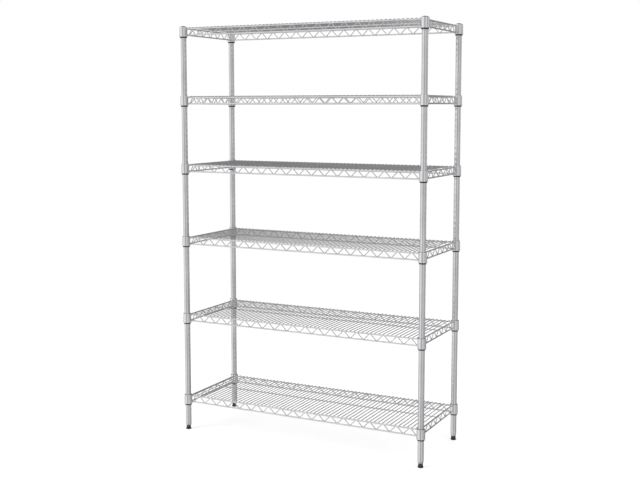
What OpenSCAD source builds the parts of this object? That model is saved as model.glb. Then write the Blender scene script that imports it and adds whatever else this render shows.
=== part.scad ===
// Six-tier wire shelving rack: four grooved posts on levelling feet, with six
// welded wire shelves that wedge onto tapered split sleeves clipped in the grooves.
// Millimetres, +X along the shelves, front at -Y, +Z up, origin on the floor at the centre.

/* [Rack] */
// Distance between the left and right post centres
post_span_x = 1150; // [750:10:1350]
// Distance between the front and back post centres
post_span_y = 404; // [300:2:560]
// Groove at which the lowest shelf sits, counted up from the floor end
first_shelf_groove = 4; // [3:1:4]
// Grooves from shelf 1 up to shelf 2
steps_1_to_2 = 15; // [8:1:15]
// Grooves from shelf 2 up to shelf 3
steps_2_to_3 = 14; // [8:1:14]
// Grooves from shelf 3 up to shelf 4
steps_3_to_4 = 13; // [8:1:13]
// Grooves from shelf 4 up to shelf 5
steps_4_to_5 = 12; // [8:1:12]
// Grooves from shelf 5 up to shelf 6
steps_5_to_6 = 12; // [8:1:12]

/* [Posts] */
// Outside diameter of a post
post_d = 25.4; // [25:0.1:25.6]
// Wall of the post tube
post_wall = 1.2; // [1:0.1:1.4]
// Length of each half of a post
half_post_length = 906.5; // [906:0.5:920]
// Distance from one groove to the next
groove_pitch = 25.4; // [25:0.1:25.4]
// Depth of a groove
groove_depth = 0.5; // [0.4:0.1:0.8]
// Width of a groove at the surface
groove_width = 2.4; // [2.4:0.1:3.2]

/* [Shelf wires] */
// Diameter of the wires round the edge of a shelf
frame_wire_d = 6; // [5:0.5:6.5]
// Diameter of the zigzag wires in the edge trusses
zigzag_wire_d = 4; // [3:0.5:4.5]
// Diameter of the fine wires that make the deck
deck_wire_d = 3.5; // [2.5:0.1:3.8]
// Diameter of the rail under the middle of the deck
rail_wire_d = 5; // [4:0.5:6]
// Distance between deck wires
deck_pitch = 19; // [18:0.5:40]
// Height between the upper and lower edge wires, centre to centre
truss_height = 28; // [26:0.5:30]
// Length that one wave of a zigzag aims at
wave_length = 61; // [50:1:80]
// Radius of a zigzag's bends, at the wire's centre
bend_r = 6; // [5:0.5:6.5]
// How far the edge wires lie inside the post centres
edge_inset = 7; // [6:0.5:8]

/* [Collars and sleeves] */
// Height of a shelf's corner collar
collar_h = 43; // [42:1:45]
// Outside diameter of a collar at its foot
collar_foot_d = 37; // [36:0.5:39]
// Outside diameter of a collar at its top
collar_top_d = 34.6; // [34:0.2:35]
// Outside diameter of a sleeve where a collar's foot sits
sleeve_foot_d = 31; // [30.6:0.2:31.4]
// Outside diameter of a sleeve where a collar's top sits
sleeve_top_d = 29.4; // [29:0.2:29.8]
// How far a sleeve shows below its collar
sleeve_lip = 6; // [4:0.5:7]

/* [Levelling feet] */
// Height of a foot's pad and hexagon together
foot_h = 19; // [18:0.5:21]
// Diameter of a foot's pad
pad_d = 24; // [22:0.5:26]
// Height of a foot's pad
pad_h = 8; // [7:0.5:9]
// Diameter of the levelling screw
screw_d = 9.9; // [9.5:0.1:9.9]
// Width across the flats of the screw's hexagon
hex_across = 19; // [17:0.5:20]
// Length of thread on the levelling screw
thread_length = 36; // [30:1:40]
// How far the insert's flange shows below the post
flange_h = 7; // [3:0.5:8]

/* [Hidden] */
corners = ["fl", "fr", "bl", "br"];
shelves = [1 : 6];
per_corner = function (name) [for (c = corners) str(name, "_", c)];
per_shelf = function (name) [for (s = shelves) str("shelf_", s, "_", name)];

// Facets round the posts and feet, and round a wire
$fn = 64;
wire_fn = 40;

// Clearances: a running fit, the taper fit of collar on sleeve, and a snap-in part
running_gap = 0.05;
taper_gap = 0.08;
snap_gap = 0.1;
face_gap = 0.3;
// How far a cut, or a piece joined to another, runs past the face it meets
past = 1;
// Depth to which welded wires sink into each other, and wire ends into a collar
weld = 0.3;
collar_weld = 0.7;

// Posts: where they start, meet and end, and the first groove above the bottom end
post_r = post_d / 2;
bore_r = post_r - post_wall;
post_bottom_z = foot_h + flange_h;
seam_z = post_bottom_z + half_post_length;
post_top_z = seam_z + half_post_length;
groove_start = 8;
first_groove_z = post_bottom_z + groove_start;
groove_end_gap = 1;

// Plugs in the posts, and the stud that joins two post halves
insert_length = 24;
stud_length = 22;
cap_plug_length = 12;
cap_head = 3;
cap_dome = 2;
cap_edge = 1;
flange_inset = 0.9;
flange_r = post_r - flange_inset;
flange_edge = 0.6;

// Levelling feet: the pad's socket, and the journal and hexagon of the screw
screw_bore_r = screw_d / 2 + running_gap;
socket_floor = 2.5;
journal_bottom_z = socket_floor + snap_gap;
hex_bottom_z = pad_h + face_gap;
hex_top_z = foot_h - face_gap;
pad_edge = 0.8;
pad_shoulder = 2.5;

// Shelves: heights above a shelf's own zero, which is the foot of its collars
sleeve_top_drop = 0.5;
sleeve_top_z = collar_h - sleeve_top_drop;
lip_flare = 0.1;
lip_step = 0.9;
sleeve_edge = 0.5;
sleeve_slot_deg = 1.4;
rib_z = 15;
collar_rim_h = 3;
collar_rim_edge = 0.5;
collar_top_edge = 0.8;
upper_wire_drop = 7;
upper_wire_z = collar_h - upper_wire_drop;
lower_wire_z = upper_wire_z - truss_height;
deck_z = upper_wire_z + frame_wire_d / 2 + deck_wire_d / 2 - weld;
rail_z = deck_z - deck_wire_d / 2 - rail_wire_d / 2 + weld;
steps = [steps_1_to_2, steps_2_to_3, steps_3_to_4, steps_4_to_5, steps_5_to_6];
function steps_below(s) = s == 1 ? 0 : steps[s - 2] + steps_below(s - 1);
function groove_z(i) = first_groove_z + i * groove_pitch;
function shelf_z(s) = groove_z(first_shelf_groove + steps_below(s)) - rib_z;

// Edge wires: where they lie, and how far each stops short of the post centre
edge_x = post_span_x / 2 - edge_inset;
edge_y = post_span_y / 2 - edge_inset;
weld_r = collar_top_d / 2 - collar_weld;
wire_stop = sqrt(weld_r * weld_r - edge_inset * edge_inset);
zigzag_offset = frame_wire_d / 2 + zigzag_wire_d / 2 - weld;
zigzag_rise = 1;
bend_swell = 0.4;
bend_wire_d = zigzag_wire_d + bend_swell;
leg_overlap = 0.8;
corner_gap = 4;
corner_margin = collar_foot_d / 2 + corner_gap;
deck_count = 2 * floor((post_span_x / 2 - corner_margin) / deck_pitch) + 1;
deck_end_inset = 0.5;
deck_length = 2 * edge_y + frame_wire_d - 2 * deck_end_inset;

chrome = "silver";
black = "#222222";

function side_x(c) = (c == "fl" || c == "bl" ? -1 : 1) * post_span_x / 2;
function side_y(c) = (c == "fl" || c == "fr" ? -1 : 1) * post_span_y / 2;

module at_corner(c) {
    translate([side_x(c), side_y(c), 0]) children();
}

module at_corners() {
    for (c = corners) at_corner(c) children();
}

// ---- Posts ----

// Outline points of the grooves that lie between two heights, going up
function groove_points(from_z, to_z) = [
    for (i = [0 : ceil((post_top_z - first_groove_z) / groove_pitch)])
        let (z = groove_z(i), w = groove_width / 2, r = post_r - groove_depth)
            if (z - w > from_z + groove_end_gap && z + w < to_z - groove_end_gap)
                each [[post_r, z - w], [r, z - w / 3], [r, z + w / 3], [post_r, z + w]]
];

module post_tube(from_z, to_z) {
    color(chrome) rotate_extrude()
        polygon(concat(
            [[bore_r, from_z], [post_r, from_z]],
            groove_points(from_z, to_z),
            [[post_r, to_z], [bore_r, to_z]]
        ));
}

module lower_post(c) {
    at_corner(c) post_tube(post_bottom_z, seam_z);
}

module upper_post(c) {
    at_corner(c) post_tube(seam_z, post_top_z);
}

// Threaded plugs pressed into the tops of the lower posts
module post_joint_sockets() {
    color("dimgray") at_corners() translate([0, 0, seam_z - insert_length])
        difference() {
            cylinder(r = bore_r, h = insert_length);
            translate([0, 0, -past]) cylinder(r = screw_bore_r, h = insert_length + 2 * past);
        }
}

// Plugs with a stud, pressed into the bottoms of the upper posts
module post_joint_studs() {
    color("dimgray") at_corners() {
        translate([0, 0, seam_z]) cylinder(r = bore_r, h = insert_length);
        translate([0, 0, seam_z - stud_length]) cylinder(d = screw_d, h = stud_length + past);
    }
}

// Push-in caps that close the tops of the posts
module post_caps() {
    color(black) at_corners() rotate_extrude()
        polygon([
            [0, post_top_z - cap_plug_length],
            [bore_r, post_top_z - cap_plug_length],
            [bore_r, post_top_z],
            [post_r, post_top_z],
            [post_r, post_top_z + cap_head - cap_edge],
            [post_r - cap_edge, post_top_z + cap_head],
            [post_r / 2, post_top_z + cap_head + cap_dome * 3 / 4],
            [0, post_top_z + cap_head + cap_dome]
        ]);
}

// ---- Levelling feet ----

// Threaded plugs pressed into the bottoms of the lower posts
module foot_inserts() {
    color("dimgray") at_corners() rotate_extrude()
        polygon([
            [screw_bore_r, foot_h], [flange_r - flange_edge, foot_h],
            [flange_r, foot_h + flange_edge],
            [flange_r, post_bottom_z], [bore_r, post_bottom_z],
            [bore_r, post_bottom_z + insert_length], [screw_bore_r, post_bottom_z + insert_length]
        ]);
}

// A round pad that stands still on the floor while the screw turns in it
module foot_pad(c) {
    r = pad_d / 2;
    color(black) at_corner(c) rotate_extrude()
        polygon([
            [0, 0], [r - pad_edge, 0], [r, pad_edge],
            [r, pad_h - pad_shoulder], [r - pad_shoulder, pad_h],
            [screw_bore_r, pad_h], [screw_bore_r, socket_floor], [0, socket_floor]
        ]);
}

// A hexagon to turn, a journal below it in the pad, and a screw above it
module foot_screw(c) {
    color(black) at_corner(c) {
        translate([0, 0, hex_bottom_z])
            cylinder(d = hex_across / cos(30), h = hex_top_z - hex_bottom_z, $fn = 6);
        translate([0, 0, journal_bottom_z])
            cylinder(d = screw_d, h = hex_top_z + thread_length - journal_bottom_z);
    }
}

// ---- Sleeves and collars ----

// Radius of the sleeve's outside at a height above the collar's foot
function sleeve_r(z) = (sleeve_foot_d + (sleeve_top_d - sleeve_foot_d) * z / collar_h) / 2;

// Half a split sleeve: a straight lip, then the taper that a collar wedges onto
module half_sleeve() {
    inner = post_r + snap_gap;
    lip = sleeve_r(0) + lip_flare;
    rib = post_r - groove_depth + snap_gap;
    w = groove_width / 2 - snap_gap;
    rotate_extrude(angle = 180 - sleeve_slot_deg)
        polygon([
            [inner, -sleeve_lip], [lip - sleeve_edge, -sleeve_lip],
            [lip, sleeve_edge - sleeve_lip], [lip, -lip_step], [sleeve_r(0), 0],
            [sleeve_r(sleeve_top_z), sleeve_top_z], [inner, sleeve_top_z],
            [inner, rib_z + w], [rib, rib_z + w / 3], [rib, rib_z - w / 3], [inner, rib_z - w]
        ]);
}

// The half sleeves on one half of a post, two for each shelf that it holds
module post_sleeves(c, upper) {
    color(black) at_corner(c) for (s = shelves) if (shelf_z(s) > seam_z == upper)
        for (turn = [0, 180]) translate([0, 0, shelf_z(s)])
            rotate([0, 0, turn + sleeve_slot_deg / 2]) half_sleeve();
}

// The four tapered corner collars of one shelf
module shelf_collars(s) {
    foot = collar_foot_d / 2;
    top = collar_top_d / 2;
    edge = collar_rim_edge;
    color(chrome) at_corners() translate([0, 0, shelf_z(s)]) rotate_extrude()
        polygon([
            [sleeve_r(0) + taper_gap, 0], [foot - edge, 0], [foot, edge],
            [foot, collar_rim_h], [foot - edge, collar_rim_h + 2 * edge],
            [top, collar_h - collar_top_edge], [top - collar_top_edge, collar_h],
            [sleeve_r(collar_h) + taper_gap, collar_h]
        ]);
}

// ---- Wires ----

module wire_along_x(length, d) {
    rotate([0, 90, 0]) cylinder(d = d, h = length, center = true, $fn = wire_fn);
}

module wire_along_y(length, d) {
    rotate([90, 0, 0]) cylinder(d = d, h = length, center = true, $fn = wire_fn);
}

// The eight edge wires of one shelf: an upper and a lower one on each side
module shelf_frame(s) {
    long = post_span_x - 2 * wire_stop;
    short = post_span_y - 2 * wire_stop;
    color(chrome) translate([0, 0, shelf_z(s)])
        for (z = [lower_wire_z, upper_wire_z], side = [-1, 1]) {
            translate([0, side * edge_y, z]) wire_along_x(long, frame_wire_d);
            translate([side * edge_x, 0, z]) wire_along_y(short, frame_wire_d);
        }
}

// One bend of a zigzag, in the XZ plane, between two angles up from +X
module bend(from, to) {
    rotate([90, 0, 0]) rotate([0, 0, from]) rotate_extrude(angle = to - from, $fn = wire_fn)
        translate([bend_r, 0]) circle(d = bend_wire_d);
}

// A zigzag wire along X that starts and ends at the bottom of a wave
module zigzag(span) {
    waves = round(span / wave_length);
    half = span / waves / 2;
    low = lower_wire_z + zigzag_rise + bend_r;
    high = upper_wire_z - zigzag_rise - bend_r;
    apart = sqrt(half * half + (high - low) * (high - low));
    lean = atan2(high - low, half) + asin(2 * bend_r / apart);
    leg = sqrt(apart * apart - 4 * bend_r * bend_r);
    last = 2 * waves;
    union() {
        for (i = [0 : last]) translate([i * half - span / 2, 0, i % 2 == 0 ? low : high])
            if (i % 2 == 1) bend(90 - lean, 90 + lean);
            else bend(i == 0 ? 270 : 270 - lean, i == last ? 270 : 270 + lean);
        for (i = [0 : last - 1]) {
            way = i % 2 == 0 ? 1 : -1;
            translate([i * half - span / 2, 0, way == 1 ? low : high])
                translate([bend_r * sin(lean), 0, -way * bend_r * cos(lean)])
                    rotate([0, 90 - way * lean, 0]) translate([0, 0, -leg_overlap])
                        cylinder(d = zigzag_wire_d, h = leg + 2 * leg_overlap, $fn = wire_fn);
        }
    }
}

// The four zigzag wires of one shelf, welded to the inner sides of the edge wires
module shelf_trusses(s) {
    long = post_span_x - 2 * corner_margin;
    short = post_span_y - 2 * corner_margin;
    color(chrome) translate([0, 0, shelf_z(s)])
        for (side = [-1, 1]) {
            translate([0, side * (edge_y - zigzag_offset), 0]) zigzag(long);
            translate([side * (edge_x - zigzag_offset), 0, 0]) rotate([0, 0, 90]) zigzag(short);
        }
}

// The fine wires of one shelf's deck, from front to back over the edge wires
module shelf_deck(s) {
    color(chrome) translate([0, 0, shelf_z(s) + deck_z])
        for (i = [0 : deck_count - 1])
            translate([(i - (deck_count - 1) / 2) * deck_pitch, 0, 0])
                wire_along_y(deck_length, deck_wire_d);
}

// The rail under the middle of one shelf's deck
module shelf_rail(s) {
    color(chrome) translate([0, 0, shelf_z(s) + rail_z])
        wire_along_x(2 * edge_x - frame_wire_d + 2 * weld, rail_wire_d);
}

// ---- Nodes ----

for (c = corners) lower_post(c);
for (c = corners) upper_post(c);
post_joint_sockets();
post_joint_studs();
post_caps();
foot_inserts();
for (c = corners) foot_pad(c);
for (c = corners) foot_screw(c);
for (c = corners) post_sleeves(c, false);
for (c = corners) post_sleeves(c, true);
for (s = shelves) shelf_collars(s);
for (s = shelves) shelf_frame(s);
for (s = shelves) shelf_trusses(s);
for (s = shelves) shelf_deck(s);
for (s = shelves) shelf_rail(s);
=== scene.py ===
"""Looks of the six-tier wire shelving rack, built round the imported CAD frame. Metres, row frame."""
import math
import random

import bpy
from mathutils import Matrix, Vector


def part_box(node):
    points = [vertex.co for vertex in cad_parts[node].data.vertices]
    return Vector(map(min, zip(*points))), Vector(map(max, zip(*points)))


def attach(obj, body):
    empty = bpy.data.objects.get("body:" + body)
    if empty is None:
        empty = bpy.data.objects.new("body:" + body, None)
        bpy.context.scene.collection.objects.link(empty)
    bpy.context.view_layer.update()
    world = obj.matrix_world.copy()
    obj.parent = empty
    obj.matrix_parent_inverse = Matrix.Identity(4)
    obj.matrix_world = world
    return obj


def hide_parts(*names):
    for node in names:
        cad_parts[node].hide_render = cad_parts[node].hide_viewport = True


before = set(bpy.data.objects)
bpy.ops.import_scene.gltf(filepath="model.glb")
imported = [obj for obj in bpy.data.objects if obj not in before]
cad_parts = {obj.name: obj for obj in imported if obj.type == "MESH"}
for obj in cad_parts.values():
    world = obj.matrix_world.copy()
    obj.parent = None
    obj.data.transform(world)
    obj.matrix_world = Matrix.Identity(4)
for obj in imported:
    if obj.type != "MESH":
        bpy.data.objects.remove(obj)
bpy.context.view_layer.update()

MM = 0.001
TAU = 2 * math.pi
CORNERS = ("fl", "fr", "bl", "br")
SHELVES = range(1, 7)
rng = random.Random(11)

# Sizes that the CAD nodes' boxes don't give
GROOVE_PITCH = 25.4 * MM
GROOVE_START = 8 * MM
GROOVE_DEPTH = 0.5 * MM
GROOVE_HALF = 1.2 * MM
TUBE_WALL = 1.2 * MM
WELD_SINK = 0.3 * MM
COLLAR_WELD_SINK = 0.7 * MM
RUNNING_GAP = 0.05 * MM
TAPER_GAP = 0.08 * MM
SNAP_GAP = 0.1 * MM
FACE_GAP = 0.3 * MM
EDGE_R = 3.0 * MM
ZIGZAG_R = 2.0 * MM
DECK_R = 1.75 * MM
RAIL_R = 2.5 * MM
DECK_PITCH = 19 * MM
WAVE = 61 * MM
BEND_R = 6 * MM
ZIGZAG_RISE = 1 * MM
ZIGZAG_OFFSET = EDGE_R + ZIGZAG_R - WELD_SINK
CORNER_MARGIN = 22.5 * MM
COLLAR_FOOT_R = 18.5 * MM
COLLAR_TOP_R = 17.3 * MM
COLLAR_H = 43 * MM
SLEEVE_FOOT_R = 15.5 * MM
SLEEVE_TOP_R = 14.7 * MM
SLEEVE_LIP = 6 * MM
SLEEVE_TOP_DROP = 0.5 * MM
SLOT_HALF = math.radians(0.7)
LIP_FLARE = 0.1 * MM
RIB_Z = 15 * MM
THREAD_PITCH = 1.5 * MM
THREAD_R = 4.95 * MM
THREAD_DEPTH = 0.75 * MM
THREAD_STEPS = 9
FLANGE_INSET = 0.9 * MM
HEX_ACROSS = 19 * MM
HEX_R = HEX_ACROSS / 2

# Weld beads and spot welds, as radii and half sizes
COLLAR_BEAD_R = 0.75 * MM
RAIL_BEAD_R = 0.6 * MM
BEAD_SIDES = 8
NUGGET_SIDES = 10
NUGGET_RINGS = 5
SPOT_ALONG = 1.9 * MM
SPOT_ACROSS = 0.8 * MM
SPOT_HIGH = 1.5 * MM
SPOT_SINK = 0.25 * MM
WIRE_END_BEVEL = 0.35

# The welds' material number on a shape that has them, and the radius below which a profile is on its axis
WELD_MAT = 1
AXIS_R = 1e-7
# Keeps the root above 0 where a rail's edge reaches the edge wire's own
JUST_INSIDE = 0.999


# ---- Mesh building ----

class Shape:
    """Vertices and faces of one piece, with a material number for each face."""

    def __init__(self):
        self.verts, self.faces, self.mats = [], [], []

    def add(self, verts, faces, mat=0):
        base = len(self.verts)
        self.verts += verts
        self.faces += [tuple(i + base for i in f) for f in faces]
        self.mats += [mat] * len(faces)

    def build(self, node, body, slot, materials, sharp=35):
        mesh = bpy.data.meshes.new(node + "_visual")
        mesh.from_pydata([tuple(v) for v in self.verts], [], self.faces)
        for m in materials:
            mesh.materials.append(m)
        mesh.polygons.foreach_set("material_index", self.mats)
        mesh.update()
        mesh.shade_smooth()
        mesh.set_sharp_from_angle(angle=math.radians(sharp))
        obj = bpy.data.objects.new(node + "_visual", mesh)
        bpy.context.scene.collection.objects.link(obj)
        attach(obj, body)
        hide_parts(node)
        return obj


def quads(rings, n, close_rings=False):
    """Faces between rings of n points, each ring closed on itself."""
    faces = []
    last = rings if close_rings else rings - 1
    for i in range(last):
        a, b = i * n, ((i + 1) % rings) * n
        for j in range(n):
            k = (j + 1) % n
            faces.append((a + j, a + k, b + k, b + j))
    return faces


def lathe(shape, profile, centre, n=64, closed=False, mat=0, radius=None):
    """A turned form. The profile is (r, z) up the outside, and radius(r, z, angle) may shape it."""
    cx, cy = centre
    verts, faces, starts = [], [], []
    for r, z in profile:
        starts.append(len(verts))
        if r < AXIS_R:
            verts.append((cx, cy, z))
            continue
        for j in range(n):
            a = TAU * j / n
            q = radius(r, z, a) if radius else r
            verts.append((cx + q * math.cos(a), cy + q * math.sin(a), z))
    pairs = list(zip(range(len(profile) - 1), range(1, len(profile))))
    if closed:
        pairs.append((len(profile) - 1, 0))
    for i, k in pairs:
        a, b = starts[i], starts[k]
        for j in range(n):
            m = (j + 1) % n
            if profile[i][0] < AXIS_R:
                faces.append((a, b + m, b + j))
            elif profile[k][0] < AXIS_R:
                faces.append((a + j, a + m, b))
            else:
                faces.append((a + j, a + m, b + m, b + j))
    shape.add(verts, faces, mat)


def fillet(points, radii, steps=4, closed=True):
    """A polygon with its corners rounded: radii has one radius for each corner, 0 to keep it sharp."""
    out, n = [], len(points)
    for i, (p, r) in enumerate(zip(points, radii)):
        p = Vector(p)
        if r == 0 or (not closed and i in (0, n - 1)):
            out.append(tuple(p))
            continue
        a, b = Vector(points[i - 1]) - p, Vector(points[(i + 1) % n]) - p
        la, lb = a.length, b.length
        a.normalize(), b.normalize()
        half = a.angle(b) / 2
        cut = min(r / math.tan(half), 0.48 * la, 0.48 * lb)
        r = cut * math.tan(half)
        c = p + (a + b).normalized() * (r / math.sin(half))
        u, v = p + a * cut - c, p + b * cut - c
        turn = u.angle(v)
        for k in range(steps + 1):
            t = k / steps
            w = (u * math.sin((1 - t) * turn) + v * math.sin(t * turn)) / math.sin(turn)
            out.append(tuple(c + w))
    return out


def partial_lathe(shape, profile, centre, start, end, n):
    """A closed profile turned through part of a circle, with its two ends closed."""
    cx, cy = centre
    m = len(profile)
    verts = []
    for i in range(n + 1):
        a = start + (end - start) * i / n
        verts += [(cx + r * math.cos(a), cy + r * math.sin(a), z) for r, z in profile]
    faces = []
    for i in range(n):
        for j in range(m):
            k = (j + 1) % m
            faces.append((i * m + j, (i + 1) * m + j, (i + 1) * m + k, i * m + k))
    faces.append(tuple(range(m)))
    faces.append(tuple(n * m + j for j in reversed(range(m))))
    shape.add(verts, faces)


def wire(shape, path, r, n=16, normal=(0, 0, 1)):
    """A round wire along a path whose frame keeps normal upright, with bevelled ends."""
    pts = [Vector(p) for p in path]
    up = Vector(normal)
    tangents = []
    for i in range(len(pts)):
        t = pts[min(i + 1, len(pts) - 1)] - pts[max(i - 1, 0)]
        tangents.append(t.normalized())
    end_r = r * (1 - WIRE_END_BEVEL)
    rings = [(pts[0], tangents[0], end_r)]
    rings.append((pts[0] + tangents[0] * r * WIRE_END_BEVEL, tangents[0], r))
    rings += [(p, t, r) for p, t in zip(pts[1:-1], tangents[1:-1])]
    rings.append((pts[-1] - tangents[-1] * r * WIRE_END_BEVEL, tangents[-1], r))
    rings.append((pts[-1], tangents[-1], end_r))
    verts = []
    for p, t, q in rings:
        side = t.cross(up).normalized()
        above = side.cross(t)
        for j in range(n):
            a = TAU * j / n
            verts.append(tuple(p + side * (q * math.cos(a)) + above * (q * math.sin(a))))
    faces = quads(len(rings), n)
    faces.append(tuple(reversed(range(n))))
    faces.append(tuple((len(rings) - 1) * n + j for j in range(n)))
    shape.add(verts, faces)


def straight(a, b, spans):
    """Points along a straight line, ends included."""
    a, b = Vector(a), Vector(b)
    return [a.lerp(b, i / spans) for i in range(spans + 1)]


def nugget(shape, centre, size, mat):
    """A spot weld: a small lump, a little uneven."""
    n, m = NUGGET_SIDES, NUGGET_RINGS
    c = Vector(centre)
    verts = [tuple(c - Vector((0, 0, size[2])))]
    for i in range(1, m + 1):
        e = -math.pi / 2 + math.pi * i / (m + 1)
        for j in range(n):
            a = TAU * j / n
            k = rng.uniform(0.9, 1.1)
            verts.append((c.x + size[0] * k * math.cos(e) * math.cos(a),
                          c.y + size[1] * k * math.cos(e) * math.sin(a),
                          c.z + size[2] * math.sin(e)))
    verts.append(tuple(c + Vector((0, 0, size[2]))))
    top = len(verts) - 1
    faces = [(0, 1 + (j + 1) % n, 1 + j) for j in range(n)]
    for i in range(m - 1):
        a, b = 1 + i * n, 1 + (i + 1) * n
        faces += [(a + j, a + (j + 1) % n, b + (j + 1) % n, b + j) for j in range(n)]
    a = 1 + (m - 1) * n
    faces += [(a + j, a + (j + 1) % n, top) for j in range(n)]
    shape.add(verts, faces, mat)


def bead(shape, loop, r, mat):
    """A weld bead that runs round a closed loop of points, with a ripple."""
    n = BEAD_SIDES
    pts = [Vector(p) for p in loop]
    count = len(pts)
    centre = sum(pts, Vector()) / count
    verts = []
    for i, p in enumerate(pts):
        t = (pts[(i + 1) % count] - pts[i - 1]).normalized()
        out = (p - centre)
        out = (out - t * out.dot(t)).normalized()
        side = t.cross(out)
        q = r * rng.uniform(0.86, 1.12)
        for j in range(n):
            a = TAU * j / n
            verts.append(tuple(p + out * (q * math.cos(a)) + side * (q * math.sin(a))))
    shape.add(verts, quads(count, n, close_rings=True), mat)


# ---- Procedural materials ----

CHROME_DARK, CHROME_LIGHT = (0.64, 0.64, 0.65), (0.76, 0.76, 0.77)
# The grooves' colour is painted shade: a little darker than the plate's average tone
GROOVE_SHADE_COLOR = (0.66, 0.66, 0.67)
GROOVE_ROUGHER = 0.08


def new_material(name):
    m = bpy.data.materials.new(name)
    m.use_nodes = True
    nt = m.node_tree
    nt.nodes.clear()
    out = nt.nodes.new("ShaderNodeOutputMaterial")
    bsdf = nt.nodes.new("ShaderNodeBsdfPrincipled")
    nt.links.new(bsdf.outputs["BSDF"], out.inputs["Surface"])
    coords = nt.nodes.new("ShaderNodeTexCoord")
    return m, nt, bsdf, coords.outputs["Object"]


def node(nt, kind, inputs=(), **settings):
    n = nt.nodes.new(kind)
    for key, value in settings.items():
        setattr(n, key, value)
    for key, value in dict(inputs).items():
        if isinstance(value, bpy.types.NodeSocket):
            nt.links.new(value, n.inputs[key])
        else:
            n.inputs[key].default_value = value
    return n


def math_node(nt, op, a, b=0.0):
    return node(nt, "ShaderNodeMath", {0: a, 1: b}, operation=op).outputs[0]


def noise(nt, coords, scale, stretch=(1, 1, 1), detail=3, rough=0.55):
    mapping = node(nt, "ShaderNodeMapping", {"Vector": coords, "Scale": stretch})
    return node(nt, "ShaderNodeTexNoise", {
        "Vector": mapping.outputs[0], "Scale": scale, "Detail": detail, "Roughness": rough,
    }).outputs["Fac"]


def spread(nt, value, low, high, from_low=0.3, from_high=0.7):
    return node(nt, "ShaderNodeMapRange", {
        "Value": value, "From Min": from_low, "From Max": from_high, "To Min": low, "To Max": high,
    }).outputs[0]


def mix_color(nt, factor, a, b):
    n = nt.nodes.new("ShaderNodeMix")
    n.data_type = "RGBA"
    for socket, value in ((n.inputs[0], factor), (n.inputs[6], a), (n.inputs[7], b)):
        if isinstance(value, bpy.types.NodeSocket):
            nt.links.new(value, socket)
        else:
            socket.default_value = value if isinstance(value, float) else (*value, 1)
    return n.outputs[2]


def bump(nt, height, strength, distance, below=None):
    n = node(nt, "ShaderNodeBump", {"Height": height, "Strength": strength, "Distance": distance})
    if below is not None:
        nt.links.new(below, n.inputs["Normal"])
    return n.outputs[0]


def chrome(name, dark, light, rough, grain_scale, stretch, grooves=None):
    """Bright chrome plate with a faint grain and soft smudges.

    grooves is the height of a post's first groove. Where it's given, the grooves are a little rougher, and
    a slightly darker colour painted in them stands for their shade.
    """
    m, nt, bsdf, co = new_material(name)
    smudge = noise(nt, co, 9, detail=4)
    grain = noise(nt, co, grain_scale, stretch, detail=2)
    speck = noise(nt, co, 700, detail=2)
    color = mix_color(nt, spread(nt, smudge, 0.0, 1.0), dark, light)
    value = math_node(nt, "ADD", spread(nt, smudge, rough[1], rough[0]), spread(nt, grain, -0.03, 0.05))
    if grooves is not None:
        z = node(nt, "ShaderNodeSeparateXYZ", {0: co}).outputs[2]
        turn = math_node(nt, "DIVIDE", math_node(nt, "SUBTRACT", z, grooves), GROOVE_PITCH)
        off = math_node(nt, "ABSOLUTE", math_node(nt, "SUBTRACT", turn, math_node(nt, "ROUND", turn)))
        inside = spread(nt, off, 1.0, 0.0, 0.25 * GROOVE_HALF / GROOVE_PITCH, GROOVE_HALF / GROOVE_PITCH)
        # Painted shade: the grooves take a slightly darker colour. The extra roughness below is the
        # grooves' real dullness
        color = mix_color(nt, inside, color, GROOVE_SHADE_COLOR)
        value = math_node(nt, "ADD", value, math_node(nt, "MULTIPLY", inside, GROOVE_ROUGHER))
    nt.links.new(color, bsdf.inputs["Base Color"])
    nt.links.new(value, bsdf.inputs["Roughness"])
    bsdf.inputs["Metallic"].default_value = 1.0
    fine = bump(nt, speck, 0.10, 0.05 * MM)
    nt.links.new(bump(nt, grain, 0.16, 0.06 * MM, fine), bsdf.inputs["Normal"])
    return m


def weld_metal(name):
    """Weld metal under the plate: duller, darker and pitted."""
    m, nt, bsdf, co = new_material(name)
    blot = noise(nt, co, 260, detail=4)
    pits = node(nt, "ShaderNodeTexVoronoi", {"Vector": co, "Scale": 1500.0}).outputs["Distance"]
    nt.links.new(mix_color(nt, spread(nt, blot, 0.0, 1.0), (0.36, 0.355, 0.35), (0.62, 0.62, 0.61)),
                 bsdf.inputs["Base Color"])
    nt.links.new(spread(nt, blot, 0.48, 0.28), bsdf.inputs["Roughness"])
    bsdf.inputs["Metallic"].default_value = 1.0
    nt.links.new(bump(nt, pits, 0.35, 0.15 * MM), bsdf.inputs["Normal"])
    return m


def plastic(name, dark, light, rough, grain=1800.0, depth=0.05):
    """Moulded plastic: a fine spark-eroded grain, flow marks and a dusting of wear."""
    m, nt, bsdf, co = new_material(name)
    flow = noise(nt, co, 60, (1, 1, 0.35), detail=4)
    dust = noise(nt, co, 420, detail=5, rough=0.7)
    cells = node(nt, "ShaderNodeTexVoronoi", {"Vector": co, "Scale": grain}).outputs["Distance"]
    base = mix_color(nt, spread(nt, flow, 0.0, 1.0), dark, light)
    worn = mix_color(nt, spread(nt, dust, 0.0, 0.30, 0.55, 0.8), base, (0.11, 0.11, 0.112))
    nt.links.new(worn, bsdf.inputs["Base Color"])
    nt.links.new(spread(nt, dust, rough[0], rough[1]), bsdf.inputs["Roughness"])
    bsdf.inputs["Specular IOR Level"].default_value = 0.45
    nt.links.new(bump(nt, cells, 0.30, depth * MM, bump(nt, dust, 0.12, 0.08 * MM)), bsdf.inputs["Normal"])
    return m


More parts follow.
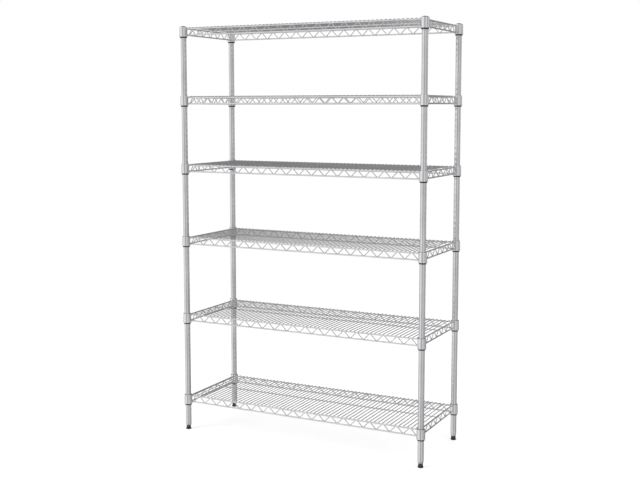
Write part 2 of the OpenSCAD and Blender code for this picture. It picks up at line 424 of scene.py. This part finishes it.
def painted_steel(name):
    """Black stove enamel on steel, a little orange-peeled, with bright specks where it is chipped."""
    m, nt, bsdf, co = new_material(name)
    peel = noise(nt, co, 520, detail=2)
    chips = noise(nt, co, 900, detail=6, rough=0.75)
    cloud = noise(nt, co, 70, detail=4)
    base = mix_color(nt, spread(nt, cloud, 0.0, 1.0), (0.016, 0.016, 0.017), (0.034, 0.034, 0.036))
    nt.links.new(mix_color(nt, spread(nt, chips, 0.0, 0.55, 0.68, 0.72), base, (0.24, 0.24, 0.235)),
                 bsdf.inputs["Base Color"])
    nt.links.new(spread(nt, cloud, 0.22, 0.38), bsdf.inputs["Roughness"])
    nt.links.new(bump(nt, peel, 0.25, 0.10 * MM), bsdf.inputs["Normal"])
    bsdf.inputs["Specular IOR Level"].default_value = 0.5
    return m


def plated_steel(name):
    """Zinc-plated turned steel: fine rings from the lathe and a cloudy passivated tone."""
    m, nt, bsdf, co = new_material(name)
    rings = noise(nt, co, 40, (1, 1, 90), detail=3)
    cloud = noise(nt, co, 45, detail=4)
    nt.links.new(mix_color(nt, spread(nt, cloud, 0.0, 1.0), (0.47, 0.47, 0.45), (0.66, 0.66, 0.64)),
                 bsdf.inputs["Base Color"])
    nt.links.new(math_node(nt, "ADD", spread(nt, cloud, 0.22, 0.34), spread(nt, rings, -0.04, 0.06)),
                 bsdf.inputs["Roughness"])
    bsdf.inputs["Metallic"].default_value = 1.0
    nt.links.new(bump(nt, rings, 0.25, 0.08 * MM), bsdf.inputs["Normal"])
    return m


post_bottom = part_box("lower_post_fl")[0].z
post_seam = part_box("lower_post_fl")[1].z
post_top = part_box("upper_post_fl")[1].z
POST_R = (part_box("lower_post_fl")[1].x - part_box("lower_post_fl")[0].x) / 2
BORE_R = POST_R - TUBE_WALL
first_groove = post_bottom + GROOVE_START

CHROME_POST = chrome("chrome_post", CHROME_DARK, CHROME_LIGHT, (0.10, 0.20), 60, (14, 14, 0.6),
                     grooves=first_groove)
CHROME_WIRE = chrome("chrome_wire", CHROME_DARK, CHROME_LIGHT, (0.12, 0.24), 420, (1, 1, 1))
CHROME_COLLAR = chrome("chrome_collar", (0.70, 0.70, 0.71), (0.81, 0.81, 0.82), (0.09, 0.18), 90, (1, 1, 8))
WELD = weld_metal("weld_metal")
BLACK_PLASTIC = plastic("black_plastic", (0.016, 0.016, 0.017), (0.032, 0.032, 0.034), (0.42, 0.58))
PAD_PLASTIC = plastic("pad_plastic", (0.012, 0.012, 0.013), (0.026, 0.026, 0.027), (0.52, 0.68),
                      grain=1200.0, depth=0.08)
BLACK_STEEL = painted_steel("black_steel")
PLATED = plated_steel("plated_steel")


# ---- Posts ----

def centre_of(c):
    lo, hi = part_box("lower_post_" + c)
    return ((lo.x + hi.x) / 2, (lo.y + hi.y) / 2)


def post_profile(low, high):
    """A closed profile: up the outside with its rolled grooves, and down the bore."""
    ease = 0.35 * MM
    profile = [(BORE_R + ease, low), (POST_R - ease, low), (POST_R - 0.3 * ease, low + 0.3 * ease),
               (POST_R, low + ease)]
    i = 0
    while True:
        z = first_groove + i * GROOVE_PITCH
        i += 1
        if z - GROOVE_HALF < low + MM:
            continue
        if z + GROOVE_HALF > high - MM:
            break
        for k in range(-6, 7):
            t = k / 6
            profile.append((POST_R - GROOVE_DEPTH * 0.5 * (1 + math.cos(math.pi * t)), z + GROOVE_HALF * t))
    profile += [(POST_R, high - ease), (POST_R - 0.3 * ease, high - 0.3 * ease), (POST_R - ease, high),
                (BORE_R + ease, high), (BORE_R, high - ease), (BORE_R, low + ease)]
    return profile


for c in CORNERS:
    for part, low, high in (("lower_post_", post_bottom, post_seam), ("upper_post_", post_seam, post_top)):
        shape = Shape()
        lathe(shape, post_profile(low, high), centre_of(c), n=72, closed=True)
        shape.build(part + c, "posts", "chrome_post", [CHROME_POST], sharp=50)


def threaded(low, high):
    """The profile and radius rule of a right-hand thread between two heights, tapered at both ends."""
    count = int((high - low) / (THREAD_PITCH / THREAD_STEPS))
    profile = [(THREAD_R, low + (high - low) * i / count) for i in range(count + 1)]

    def radius(q, z, angle):
        phase = (z / THREAD_PITCH - angle / TAU) % 1.0
        ridge = min(1.0, max(0.0, 1.25 - 2.5 * abs(phase - 0.5)))
        fade = min(1.0, (z - low) / THREAD_PITCH, (high - z) / THREAD_PITCH)
        return q - THREAD_DEPTH * (1 - ridge * max(0.0, fade)) if low < z < high else q - THREAD_DEPTH

    return profile, radius


def screw_thread(shape, centre, low, high, mat=0):
    """A threaded rod, closed at both ends with a chamfer."""
    profile, radius = threaded(low, high)
    root = THREAD_R - THREAD_DEPTH
    whole = [(0.0, low), *profile, (root - 0.6 * MM, high + 0.5 * MM), (0.0, high + 0.5 * MM)]
    lathe(shape, whole, centre, n=40, mat=mat,
          radius=lambda q, z, a: radius(q, z, a) if z <= high else q)


sockets, studs, caps, inserts = Shape(), Shape(), Shape(), Shape()
socket_lo, socket_hi = (v.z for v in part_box("post_joint_sockets"))
stud_lo, stud_hi = (v.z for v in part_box("post_joint_studs"))
insert_lo, insert_hi = (v.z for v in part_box("foot_inserts"))
cap_lo, cap_hi = (v.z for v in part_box("post_caps"))
SCREW_BORE_R = THREAD_R + RUNNING_GAP
FLANGE_R = POST_R - FLANGE_INSET
for c in CORNERS:
    at = centre_of(c)
    e = 0.5 * MM
    lathe(sockets, [(SCREW_BORE_R + e, socket_lo), (BORE_R - e, socket_lo), (BORE_R, socket_lo + e),
                    (BORE_R, socket_hi - e), (BORE_R - e, socket_hi), (SCREW_BORE_R + e, socket_hi),
                    (SCREW_BORE_R, socket_hi - e), (SCREW_BORE_R, socket_lo + e)], at, n=48, closed=True)
    lathe(studs, [(0, post_seam), (BORE_R - e, post_seam), (BORE_R, post_seam + e), (BORE_R, stud_hi - e),
                  (BORE_R - e, stud_hi), (0, stud_hi)], at, n=48)
    screw_thread(studs, at, stud_lo, post_seam - e)
    plug = [(0, cap_lo), (BORE_R - 1.2 * MM, cap_lo), (BORE_R - 0.1 * MM, cap_lo + 2 * MM),
            (BORE_R, cap_lo + 2.4 * MM), (BORE_R, post_top), (POST_R - 0.25 * MM, post_top),
            (POST_R, post_top + 0.25 * MM)]
    side = post_top + 2.0 * MM
    dome = []
    for k in range(9):
        a = math.pi / 2 * k / 8
        dome.append((POST_R - 1.1 * MM + 1.1 * MM * math.cos(a), side + 0.9 * MM * math.sin(a)))
    rim_r, rim_z = dome[-1]
    for k in range(1, 9):
        t = k / 8
        dome.append((rim_r * (1 - t) + 1.8 * MM * t, rim_z + (cap_hi - rim_z) * (1 - (1 - t) ** 2)))
    dome += [(1.6 * MM, cap_hi - 0.02 * MM), (1.3 * MM, cap_hi - 0.25 * MM), (0, cap_hi - 0.3 * MM)]
    lathe(caps, plug + dome, at, n=64)
    lathe(inserts, [(SCREW_BORE_R + e, insert_lo), (FLANGE_R - 0.8 * MM, insert_lo),
                    (FLANGE_R - 0.2 * MM, insert_lo + 0.25 * MM), (FLANGE_R, insert_lo + 0.8 * MM),
                    (FLANGE_R, post_bottom - 1.3 * MM), (FLANGE_R - 0.35 * MM, post_bottom - 1.1 * MM),
                    (FLANGE_R - 0.35 * MM, post_bottom - 0.6 * MM), (FLANGE_R, post_bottom - 0.4 * MM),
                    (FLANGE_R, post_bottom), (BORE_R, post_bottom), (BORE_R, insert_hi - e),
                    (BORE_R - e, insert_hi), (SCREW_BORE_R + e, insert_hi), (SCREW_BORE_R, insert_hi - e),
                    (SCREW_BORE_R, insert_lo + e)], at, n=64, closed=True)
sockets.build("post_joint_sockets", "posts", "plated_steel", [PLATED])
studs.build("post_joint_studs", "posts", "plated_steel", [PLATED], sharp=50)
caps.build("post_caps", "posts", "black_plastic", [BLACK_PLASTIC])
inserts.build("foot_inserts", "posts", "plated_steel", [PLATED])


# ---- Levelling feet ----

def hexagon(shape, centre, low, high):
    """A hexagon with its corners turned off at both faces."""
    cut, steps = 1.0 * MM, 4

    def radius(r, z, angle):
        return min(HEX_R / math.cos(angle % (math.pi / 3) - math.pi / 6), r)

    corner = HEX_R / math.cos(math.pi / 6)
    face = HEX_R - 0.1 * MM
    turned = [(face + (corner - face) * k / steps, cut * k / steps) for k in range(steps + 1)]
    levels = [(0, low)] + [(r, low + z) for r, z in turned] + [(corner, (low + high) / 2)]
    levels += [(r, high - z) for r, z in reversed(turned)] + [(0, high)]
    lathe(shape, levels, centre, n=72, radius=radius)


for c in CORNERS:
    at = centre_of(c)
    pad_lo, pad_hi = (v.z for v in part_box("foot_pad_" + c))
    pad_r = (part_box("foot_pad_" + c)[1].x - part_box("foot_pad_" + c)[0].x) / 2
    pad = Shape()
    outline = fillet(
        [(pad_r - 0.2 * MM, pad_lo), (pad_r, pad_lo + 1.2 * MM), (pad_r, pad_hi - 2.6 * MM),
         (pad_r - 2.4 * MM, pad_hi), (SCREW_BORE_R + 1.6 * MM, pad_hi),
         (SCREW_BORE_R, pad_hi - 0.6 * MM), (SCREW_BORE_R, pad_lo + 2.5 * MM)],
        [0.6 * MM, 0.8 * MM, 1.2 * MM, 0.9 * MM, 0, 0, 0], closed=False)
    # three shallow rings under the pad keep it from slipping
    sole = [(0.0, pad_lo)]
    for r in (4.0 * MM, 6.6 * MM, 9.2 * MM):
        sole += [(r - 0.5 * MM, pad_lo), (r - 0.25 * MM, pad_lo + 0.35 * MM),
                 (r + 0.25 * MM, pad_lo + 0.35 * MM), (r + 0.5 * MM, pad_lo)]
    lathe(pad, sole + outline + [(0.0, pad_lo + 2.5 * MM)], at, n=64)
    pad.build("foot_pad_" + c, "foot_" + c, "black_plastic", [PAD_PLASTIC])

    screw_lo, screw_hi = (v.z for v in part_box("foot_screw_" + c))
    hex_lo, hex_hi = pad_hi + FACE_GAP, insert_lo - FACE_GAP
    screw = Shape()
    lathe(screw, [(0, screw_lo), (THREAD_R - 0.4 * MM, screw_lo), (THREAD_R, screw_lo + 0.4 * MM),
                  (THREAD_R, hex_lo + 0.2 * MM), (0, hex_lo + 0.2 * MM)], at, n=40)
    hexagon(screw, at, hex_lo, hex_hi)
    screw_thread(screw, at, hex_hi - 0.2 * MM, screw_hi - 0.5 * MM, mat=1)
    screw.build("foot_screw_" + c, "screw_" + c, "black_steel", [BLACK_STEEL, PLATED], sharp=28)


# ---- Shelves ----

def collar_r(z):
    """Outside radius of a collar at a height above its foot."""
    above_rim = COLLAR_FOOT_R - 0.5 * MM
    return above_rim + (COLLAR_TOP_R - above_rim) * (z - 4 * MM) / (COLLAR_H - 4.8 * MM)


def sleeve_r(z):
    """Outside radius of a sleeve at a height above its collar's foot."""
    return SLEEVE_FOOT_R + (SLEEVE_TOP_R - SLEEVE_FOOT_R) * z / COLLAR_H


def sleeve_outline(z0):
    inner, top = POST_R + SNAP_GAP, COLLAR_H - SLEEVE_TOP_DROP
    rib = POST_R - GROOVE_DEPTH + SNAP_GAP
    w = GROOVE_HALF - SNAP_GAP
    lip = sleeve_r(0) + LIP_FLARE
    points = [(inner, -SLEEVE_LIP), (lip, -SLEEVE_LIP), (lip, -0.9 * MM), (sleeve_r(0), -0.1 * MM),
              (sleeve_r(top), top), (inner, top),
              (inner, RIB_Z + w), (rib, RIB_Z + w / 3), (rib, RIB_Z - w / 3), (inner, RIB_Z - w)]
    radii = [0.3 * MM, 0.7 * MM, 0.3 * MM, 0.2 * MM, 0.5 * MM, 0.3 * MM, 0, 0.2 * MM, 0.2 * MM, 0]
    return [(r, z0 + z) for r, z in fillet(points, radii, steps=3)]


def collar_outline(z0):
    points = [(sleeve_r(0) + TAPER_GAP, 0), (COLLAR_FOOT_R, 0), (COLLAR_FOOT_R, 3.2 * MM),
              (COLLAR_FOOT_R - 0.55 * MM, 4.1 * MM), (COLLAR_TOP_R, COLLAR_H),
              (sleeve_r(COLLAR_H) + TAPER_GAP, COLLAR_H)]
    radii = [0.4 * MM, 1.1 * MM, 0.7 * MM, 0.7 * MM, 1.0 * MM, 0.6 * MM]
    return [(r, z0 + z) for r, z in fillet(points, radii, steps=5)]


def zigzag_path(span, low, high):
    """Points (along, height) of a zigzag that starts and ends at the bottom of a wave."""
    waves = round(span / WAVE)
    half = span / waves / 2
    bottom, top = low + ZIGZAG_RISE + BEND_R, high - ZIGZAG_RISE - BEND_R
    apart = math.hypot(half, top - bottom)
    lean = math.atan2(top - bottom, half) + math.asin(2 * BEND_R / apart)
    out = []
    for i in range(2 * waves + 1):
        up = i % 2 == 1
        mid = math.pi / 2 if up else -math.pi / 2
        way = -1 if up else 1
        first = 0 if i == 0 else -lean
        final = 0 if i == 2 * waves else lean
        steps = 12 if first and final else 6
        for k in range(steps + 1):
            a = mid + way * (first + (final - first) * k / steps)
            out.append((i * half - span / 2 + BEND_R * math.cos(a),
                        (top if up else bottom) + BEND_R * math.sin(a)))
    apexes = [(i * half - span / 2, high - ZIGZAG_RISE if i % 2 else low + ZIGZAG_RISE)
              for i in range(2 * waves + 1)]
    return out, apexes


def end_loop(centre, z0, along_x, side_sign, offset, z, r):
    """Where an edge wire's surface meets the collar, as a closed loop of points."""
    cx, cy = centre
    loop = []
    for k in range(24):
        a = TAU * k / 24
        across, height = offset + r * math.cos(a), z + r * math.sin(a)
        q = collar_r(height - z0)
        reach = math.sqrt(max(q * q - across * across, 1e-8)) * side_sign
        loop.append((cx + reach, cy + across, height) if along_x else (cx + across, cy + reach, height))
    return loop


def rail_end_loop(side, edge_x, edge_z, rail_z):
    """Where the rail meets the upper edge wire, as a closed loop of points."""
    loop = []
    for k in range(20):
        a = TAU * k / 20
        height = rail_z + RAIL_R * math.sin(a)
        drop = min(EDGE_R, abs(height - edge_z))
        reach = edge_x - math.sqrt(EDGE_R ** 2 - drop ** 2 * JUST_INSIDE)
        loop.append((side * reach, RAIL_R * math.cos(a), height))
    return loop


def wire_stop(inset):
    """How far from a post's centre an edge wire ends, just inside the collar."""
    return math.sqrt((COLLAR_TOP_R - COLLAR_WELD_SINK) ** 2 - inset * inset)


for half_node in [f"{half}_sleeves_{c}" for half in ("lower", "upper") for c in CORNERS]:
    low, high = (v.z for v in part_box(half_node))
    sleeves = Shape()
    for z0 in (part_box(f"shelf_{s}_collars")[0].z for s in SHELVES):
        if low < z0 < high:
            for turn in (0, math.pi):
                partial_lathe(sleeves, sleeve_outline(z0), centre_of(half_node[-2:]),
                              turn + SLOT_HALF, turn + math.pi - SLOT_HALF, 30)
    sleeves.build(half_node, "posts", "black_plastic", [BLACK_PLASTIC])

for s in SHELVES:
    name = f"shelf_{s}_"
    body = f"shelf_{s}"
    z0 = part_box(name + "collars")[0].z
    lo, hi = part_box(name + "frame")
    edge_x, edge_y = hi.x - EDGE_R, hi.y - EDGE_R
    low_z, high_z = lo.z + EDGE_R, hi.z - EDGE_R
    deck_lo, deck_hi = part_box(name + "deck")
    rail_lo, rail_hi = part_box(name + "rail")

    collars = Shape()
    for c in CORNERS:
        lathe(collars, collar_outline(z0), centre_of(c), n=72, closed=True)
    collars.build(name + "collars", body, "chrome_collar", [CHROME_COLLAR])

    wires = Shape()
    for z in (low_z, high_z):
        for side in (-1, 1):
            left, right = centre_of("fl" if side < 0 else "bl"), centre_of("fr" if side < 0 else "br")
            inset = side * edge_y - left[1]
            stop = wire_stop(inset)
            ends = (left[0] + stop, side * edge_y, z), (right[0] - stop, side * edge_y, z)
            wire(wires, straight(*ends, 20), EDGE_R, n=24)
            bead(wires, end_loop(left, z0, True, 1, inset, z, EDGE_R), COLLAR_BEAD_R, WELD_MAT)
            bead(wires, end_loop(right, z0, True, -1, inset, z, EDGE_R), COLLAR_BEAD_R, WELD_MAT)
            front, back = centre_of("fl" if side < 0 else "fr"), centre_of("bl" if side < 0 else "br")
            inset = side * edge_x - front[0]
            stop = wire_stop(inset)
            ends = (side * edge_x, front[1] + stop, z), (side * edge_x, back[1] - stop, z)
            wire(wires, straight(*ends, 8), EDGE_R, n=24)
            bead(wires, end_loop(front, z0, False, 1, inset, z, EDGE_R), COLLAR_BEAD_R, WELD_MAT)
            bead(wires, end_loop(back, z0, False, -1, inset, z, EDGE_R), COLLAR_BEAD_R, WELD_MAT)
    wires.build(name + "frame", body, "chrome_wire", [CHROME_WIRE, WELD])

    trusses = Shape()
    px, py = centre_of("fr")
    for side in (-1, 1):
        y = side * (edge_y - ZIGZAG_OFFSET)
        path, apexes = zigzag_path(2 * (px - CORNER_MARGIN), low_z, high_z)
        wire(trusses, [(u, y, v) for u, v in path], ZIGZAG_R, n=14, normal=(0, 1, 0))
        for u, v in apexes:
            nugget(trusses, (u, side * (edge_y - EDGE_R + SPOT_SINK), v),
                   (SPOT_ALONG, SPOT_ACROSS, SPOT_HIGH), WELD_MAT)
        x = side * (edge_x - ZIGZAG_OFFSET)
        path, apexes = zigzag_path(2 * (-py - CORNER_MARGIN), low_z, high_z)
        wire(trusses, [(x, u, v) for u, v in path], ZIGZAG_R, n=14, normal=(1, 0, 0))
        for u, v in apexes:
            nugget(trusses, (side * (edge_x - EDGE_R + SPOT_SINK), u, v),
                   (SPOT_ACROSS, SPOT_ALONG, SPOT_HIGH), WELD_MAT)
    trusses.build(name + "trusses", body, "chrome_wire", [CHROME_WIRE, WELD])

    deck = Shape()
    deck_z = (deck_lo.z + deck_hi.z) / 2
    rail_z = (rail_lo.z + rail_hi.z) / 2
    count = round((deck_hi.x - deck_lo.x - 2 * DECK_R) / DECK_PITCH)
    for i in range(count + 1):
        x = deck_lo.x + DECK_R + i * DECK_PITCH
        wire(deck, straight((x, deck_lo.y, deck_z), (x, deck_hi.y, deck_z), 6), DECK_R, n=16)
        for y, reach in ((-edge_y, 1.0), (edge_y, 1.0), (0.0, 0.9)):
            nugget(deck, (x, y, deck_z - DECK_R + 0.1 * MM),
                   (1.5 * MM, 1.7 * MM * reach, 0.55 * MM), WELD_MAT)
    deck.build(name + "deck", body, "chrome_wire", [CHROME_WIRE, WELD])

    rail = Shape()
    wire(rail, straight((rail_lo.x, 0, rail_z), (rail_hi.x, 0, rail_z), 24), RAIL_R, n=20)
    for side in (-1, 1):
        bead(rail, rail_end_loop(side, edge_x, high_z, rail_z), RAIL_BEAD_R, WELD_MAT)
    rail.build(name + "rail", body, "chrome_wire", [CHROME_WIRE, WELD])


# ---- Stage, light and camera ----

def stage_floor():
    """A half-transparent pale disc that fades out with distance, so the picture has no horizon."""
    mesh = bpy.data.meshes.new("floor")
    n, rings = 96, (0.0, 1.5, 4.0, 9.0, 20.0, 60.0)
    verts = [(0, 0, 0)]
    faces = []
    for i, r in enumerate(rings[1:]):
        verts += [(r * math.cos(TAU * j / n), r * math.sin(TAU * j / n), 0) for j in range(n)]
        a = 1 + (i - 1) * n
        b = 1 + i * n
        for j in range(n):
            k = (j + 1) % n
            faces.append((0, b + j, b + k) if i == 0 else (a + j, b + j, b + k, a + k))
    mesh.from_pydata(verts, [], faces)
    obj = bpy.data.objects.new("floor", mesh)
    bpy.context.scene.collection.objects.link(obj)
    m = bpy.data.materials.new("floor_pale")
    m.use_nodes = True
    nt = m.node_tree
    nt.nodes.clear()
    out = nt.nodes.new("ShaderNodeOutputMaterial")
    matte = node(nt, "ShaderNodeBsdfDiffuse", {"Color": (0.90, 0.90, 0.90, 1)})
    clear = node(nt, "ShaderNodeBsdfTransparent", {"Color": (1, 1, 1, 1)})
    place = nt.nodes.new("ShaderNodeTexCoord").outputs["Object"]
    distance = node(nt, "ShaderNodeVectorMath", {0: place}, operation="LENGTH").outputs["Value"]
    mix = nt.nodes.new("ShaderNodeMixShader")
    nt.links.new(spread(nt, distance, 0.5, 0.0, 1.2, 4.5), mix.inputs[0])
    glow = node(nt, "ShaderNodeEmission", {"Color": (1, 1, 1, 1), "Strength": 0.22})
    pale = nt.nodes.new("ShaderNodeAddShader")
    nt.links.new(matte.outputs[0], pale.inputs[0])
    nt.links.new(glow.outputs[0], pale.inputs[1])
    nt.links.new(clear.outputs[0], mix.inputs[1])
    nt.links.new(pale.outputs[0], mix.inputs[2])
    nt.links.new(mix.outputs[0], out.inputs["Surface"])
    mesh.materials.append(m)
    obj.visible_glossy = False


def ramp(nt, factor, stops, tint=1.0, interpolation="LINEAR"):
    """A grey colour ramp. tint multiplies the blue."""
    n = nt.nodes.new("ShaderNodeValToRGB")
    n.color_ramp.interpolation = interpolation
    for i, (place, value) in enumerate(stops):
        e = n.color_ramp.elements[i] if i < 2 else n.color_ramp.elements.new(place)
        e.position = place
        e.color = (value, value, value * tint, 1)
    nt.links.new(factor, n.inputs[0])
    return n.outputs[0]


# Brightness round the horizon: 0 is +X, 0.25 the back, 0.5 -X and 0.75 the front
PANELS = [(0.00, 0.50), (0.06, 0.66), (0.11, 0.64), (0.15, 0.60), (0.19, 0.42), (0.24, 0.40),
          (0.35, 0.46), (0.45, 0.62), (0.52, 0.86), (0.60, 0.98), (0.68, 0.98), (0.74, 0.60),
          (0.79, 0.44), (0.84, 0.68), (0.90, 0.86), (0.96, 0.46), (1.00, 0.50)]
# How much of the pale overhead and underfoot colours, from straight down (0) to straight up (1)
OVERHEAD = [(0.0, 0.0), (0.73, 0.0), (0.90, 0.30), (1.0, 0.40)]
UNDERFOOT = [(0.0, 0.40), (0.13, 0.30), (0.30, 0.0), (1.0, 0.0)]
# Dark bands behind the rack, above and below the horizon
BANDS = [(0.24, 0.0), (0.32, 0.68), (0.43, 0.45), (0.485, 0.0), (0.62, 0.0),
         (0.68, 0.45), (0.73, 0.90), (0.82, 0.90), (0.90, 0.0)]


def world_light():
    """Soft studio surroundings: white to the camera, and pale and dark panels for the chrome to reflect."""
    world = bpy.data.worlds.new("studio")
    bpy.context.scene.world = world
    world.use_nodes = True
    nt = world.node_tree
    nt.nodes.clear()
    out = nt.nodes.new("ShaderNodeOutputWorld")
    co = nt.nodes.new("ShaderNodeTexCoord").outputs["Generated"]
    xyz = node(nt, "ShaderNodeSeparateXYZ", {0: co})
    azimuth = math_node(nt, "DIVIDE", math_node(nt, "ARCTAN2", xyz.outputs[1], xyz.outputs[0]), TAU)
    azimuth = math_node(nt, "FRACT", math_node(nt, "ADD", azimuth, 1.0))
    height = math_node(nt, "MULTIPLY", math_node(nt, "ADD", xyz.outputs[2], 1.0), 0.5)
    panels = ramp(nt, azimuth, PANELS, tint=1.01, interpolation="EASE")
    around = mix_color(nt, ramp(nt, height, OVERHEAD), panels, (0.88, 0.88, 0.885))
    around = mix_color(nt, ramp(nt, height, UNDERFOOT), around, (0.80, 0.80, 0.80))
    behind = spread(nt, xyz.outputs[1], 0.0, 1.0, 0.30, 0.70)
    dark = math_node(nt, "MULTIPLY", behind, ramp(nt, height, BANDS))
    around = mix_color(nt, dark, around, (0.10, 0.10, 0.10))
    seen = nt.nodes.new("ShaderNodeLightPath").outputs["Is Camera Ray"]
    final = mix_color(nt, seen, around, (1.0, 1.0, 1.0))
    background = node(nt, "ShaderNodeBackground", {"Color": final, "Strength": 1.0})
    nt.links.new(background.outputs[0], out.inputs["Surface"])


def area_light(name, location, target, size, power):
    """A soft lamp in watts, aimed at a point and left out of reflections."""
    data = bpy.data.lights.new(name, "AREA")
    data.shape = "RECTANGLE"
    data.size, data.size_y = size
    data.energy = power
    obj = bpy.data.objects.new(name, data)
    bpy.context.scene.collection.objects.link(obj)
    way = Vector(target) - Vector(location)
    obj.visible_glossy = False
    obj.matrix_world = Matrix.Translation(location) @ way.to_track_quat("-Z", "Y").to_matrix().to_4x4()


stage_floor()
world_light()
area_light("key", (-2.6, -3.2, 3.4), (0, 0, 0.9), (1.8, 1.8), 95)
area_light("fill", (3.6, -1.6, 2.2), (0, 0, 0.9), (1.4, 2.2), 45)
area_light("back", (0.4, 3.6, 3.0), (0, 0, 1.0), (2.4, 1.2), 50)

CAMERA_PLACE = (2.062, -4.065, 1.481)
CAMERA_PITCH_DEG = 6
CAMERA_TURN_DEG = 26.83
CAMERA_LENS = 57.68
CAMERA_SHIFT_Y = -0.0378
camera_data = bpy.data.cameras.new("camera")
camera = bpy.data.objects.new("camera", camera_data)
bpy.context.scene.collection.objects.link(camera)
camera_data.sensor_width = 36
camera_data.lens = CAMERA_LENS
camera_data.shift_y = CAMERA_SHIFT_Y
camera_data.clip_end = 200
camera.location = CAMERA_PLACE
camera.rotation_euler = (math.radians(90 - CAMERA_PITCH_DEG), 0, math.radians(CAMERA_TURN_DEG))
bpy.context.scene.camera = camera
bpy.context.scene.view_settings.view_transform = "Standard"
